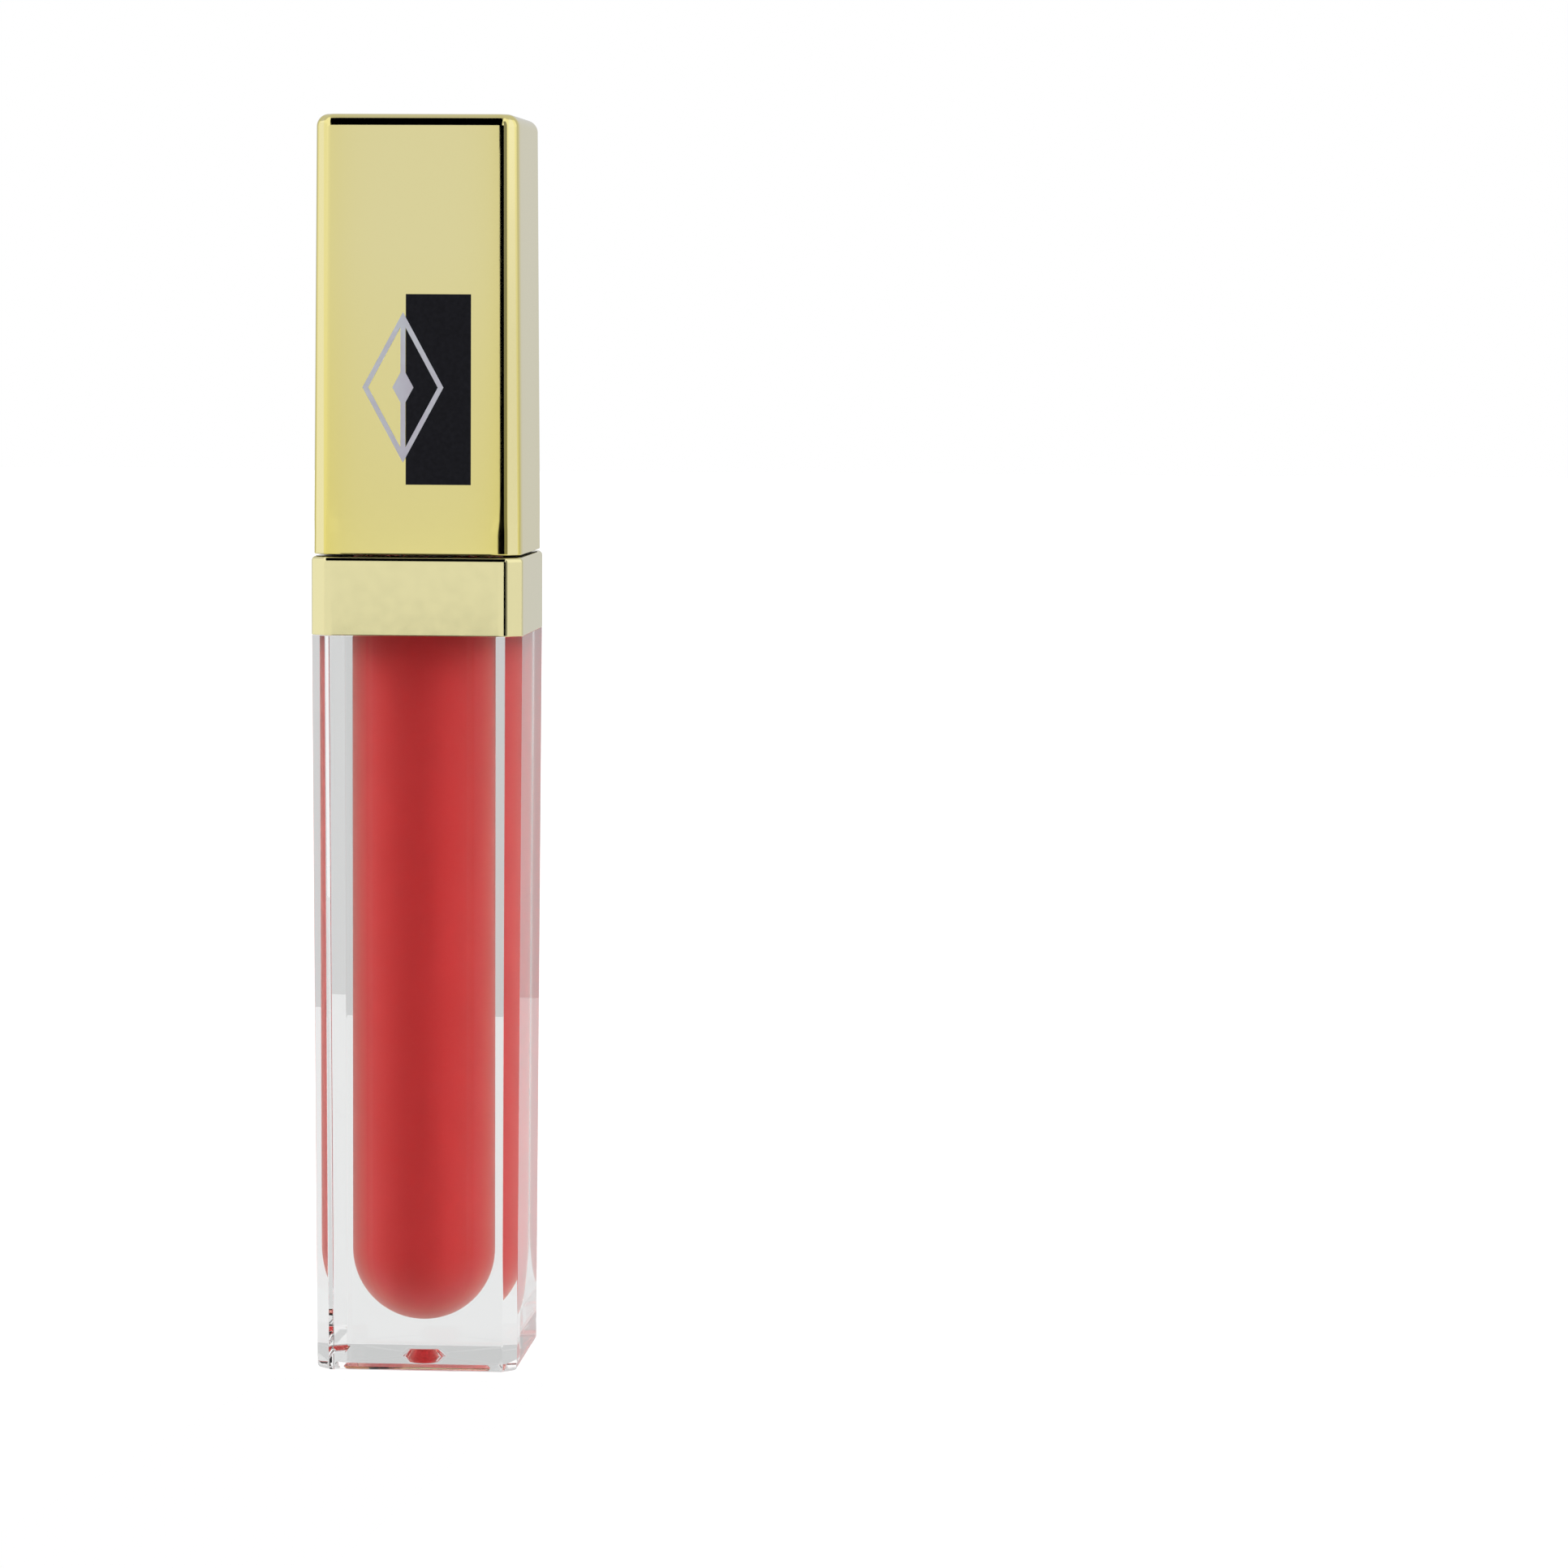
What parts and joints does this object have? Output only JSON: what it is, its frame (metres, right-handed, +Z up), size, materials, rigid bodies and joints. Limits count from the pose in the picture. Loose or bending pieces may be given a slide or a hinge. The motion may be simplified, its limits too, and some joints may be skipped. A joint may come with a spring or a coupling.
{
  "type": "lip gloss tube",
  "caption": "Square clear lip gloss bottle with a round filled cavity, a plated collar and a plated square screw cap carrying a flocked wand.",
  "frame": {"origin": "centre of the bottle's base, on the surface it stands on", "axes": "+Z up the tube towards the cap; the printed front face looks along -Y; +X is to the right of someone who faces the print"},
  "size_m": [0.0182, 0.0182, 0.1073],
  "materials": {
    "clear_plastic": "clear, polished, thick-walled",
    "gloss_filling": "opaque coral red cream with a wet sheen",
    "natural_soft_plastic": "milky, satin",
    "natural_hard_plastic": "milky white, satin",
    "pale_gold_plating": "vacuum-metallised pale gold mirror on moulded plastic",
    "white_foam": "closed-cell foam liner",
    "clear_rubber": "translucent silicone",
    "black_plastic": "moulded, glossy",
    "flock": "short nylon flock",
    "black_ink": "gloss black pad print",
    "silver_ink": "silver hot foil"
  },
  "bodies": {
    "filled_bottle": {"bottle": "clear_plastic", "lip_gloss": "gloss_filling", "wiper": "natural_soft_plastic", "collar": "pale_gold_plating"},
    "stem_ring": {"stem_o_ring": "clear_rubber"},
    "liner": {"liner_washer": "white_foam"},
    "cap_and_wand": {"cap_shell": "pale_gold_plating", "inner_cap": "natural_hard_plastic", "wand_stem": "black_plastic", "applicator_core": "natural_soft_plastic", "applicator_flock": "flock", "cap_print_panel": "black_ink", "cap_print_motif": "silver_ink"}
  },
  "joints": [
    {"name": "cap_pull", "type": "slide", "parent": "filled_bottle", "child": "stem_ring", "axis": [0, 0, 1], "range_m": [0, 0.08]},
    {"name": "cap_rise", "type": "slide", "parent": "stem_ring", "child": "liner", "axis": [0, 0, 1], "range_m": [0, 0.00375]},
    {"name": "cap_turn", "type": "hinge", "parent": "liner", "child": "cap_and_wand", "pos_m": [0, 0, 0.0795], "axis": [0, 0, 1], "range_deg": [0, 540]}
  ],
  "couplings": [
    {"joint": "cap_rise", "follows": "cap_turn", "m_per_rad": 0.00039789}
  ]
}
